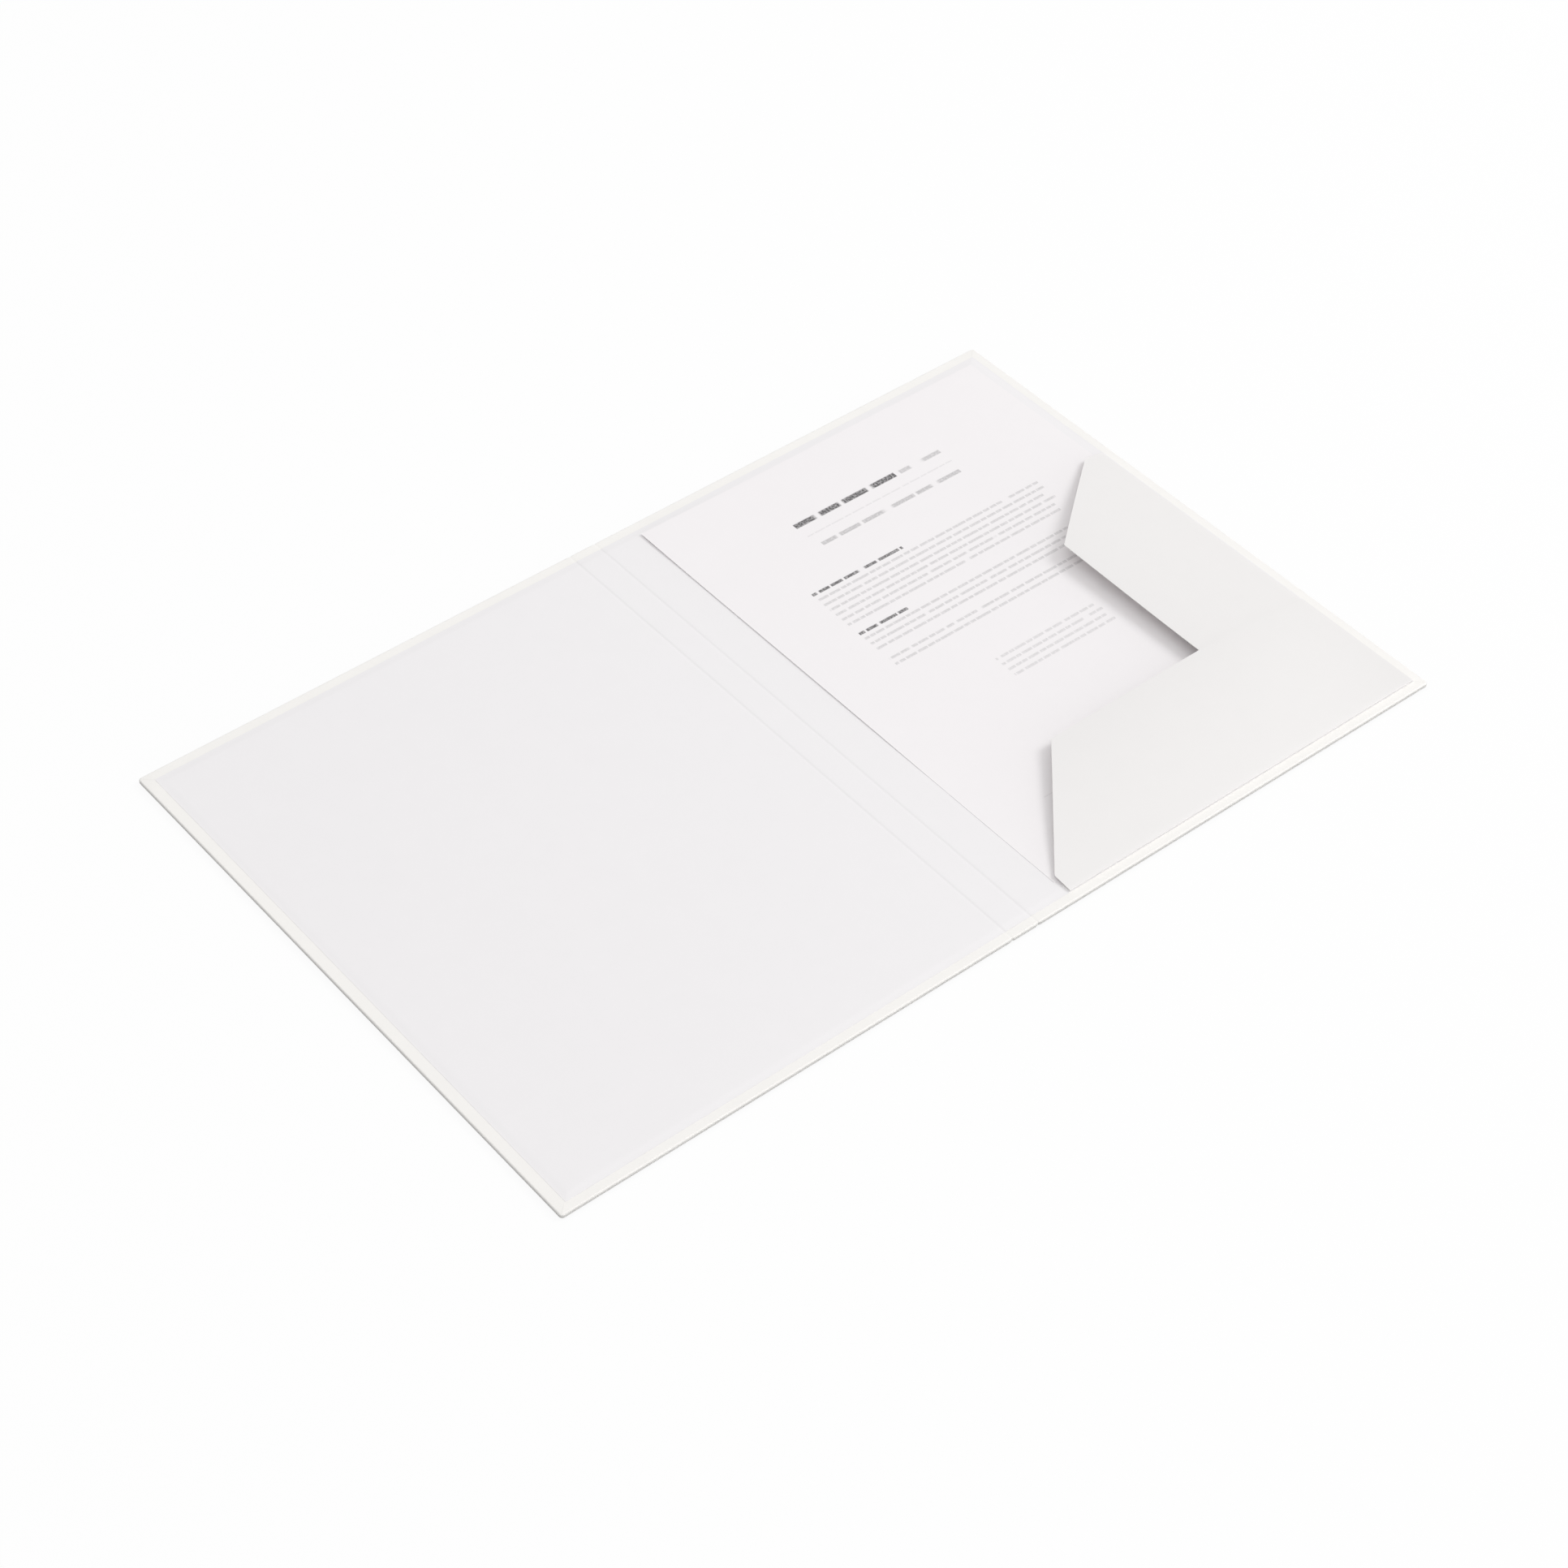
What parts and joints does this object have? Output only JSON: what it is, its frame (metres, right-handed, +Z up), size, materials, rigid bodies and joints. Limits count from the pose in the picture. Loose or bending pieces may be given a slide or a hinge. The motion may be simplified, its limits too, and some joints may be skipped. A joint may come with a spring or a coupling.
{
  "type": "elastic folder",
  "caption": "Hard-cover folder with spine, slanted corner pocket holding an A4 sheet, and an elastic closing band.",
  "frame": {"origin": "on the table under the middle of the spine, halfway from foot to head", "axes": "+X from the front cover across the spine to the back cover, +Y from foot to head, +Z up out of the open inside"},
  "size_m": [0.4968, 0.32, 0.0124],
  "materials": {
    "wrap_paper": "smooth matt white paper",
    "lining_paper": "matt off-white paper",
    "pocket_card": "matt white card",
    "letter_paper": "uncoated white writing paper",
    "greyboard": "raw grey board",
    "elastic": "flat woven elastic, white"
  },
  "bodies": {
    "back_cover": {"back_wrap": "wrap_paper", "back_board": "greyboard", "back_lining": "lining_paper", "pocket_side_flap": "pocket_card", "pocket_foot_flap": "pocket_card", "letter_sheet": "letter_paper", "elastic_band": "elastic"},
    "spine": {"spine_wrap": "wrap_paper", "spine_board": "greyboard", "spine_lining": "lining_paper"},
    "front_cover": {"front_wrap": "wrap_paper", "front_board": "greyboard", "front_lining": "lining_paper"}
  },
  "joints": [
    {"name": "back_crease", "type": "hinge", "parent": "back_cover", "child": "spine", "pos_m": [0.0074, 0, 0.00362], "axis": [0, 1, 0], "range_deg": [0, 90]},
    {"name": "front_crease", "type": "hinge", "parent": "spine", "child": "front_cover", "pos_m": [-0.0074, 0, 0.00362], "axis": [0, 1, 0], "range_deg": [0, 90]}
  ]
}
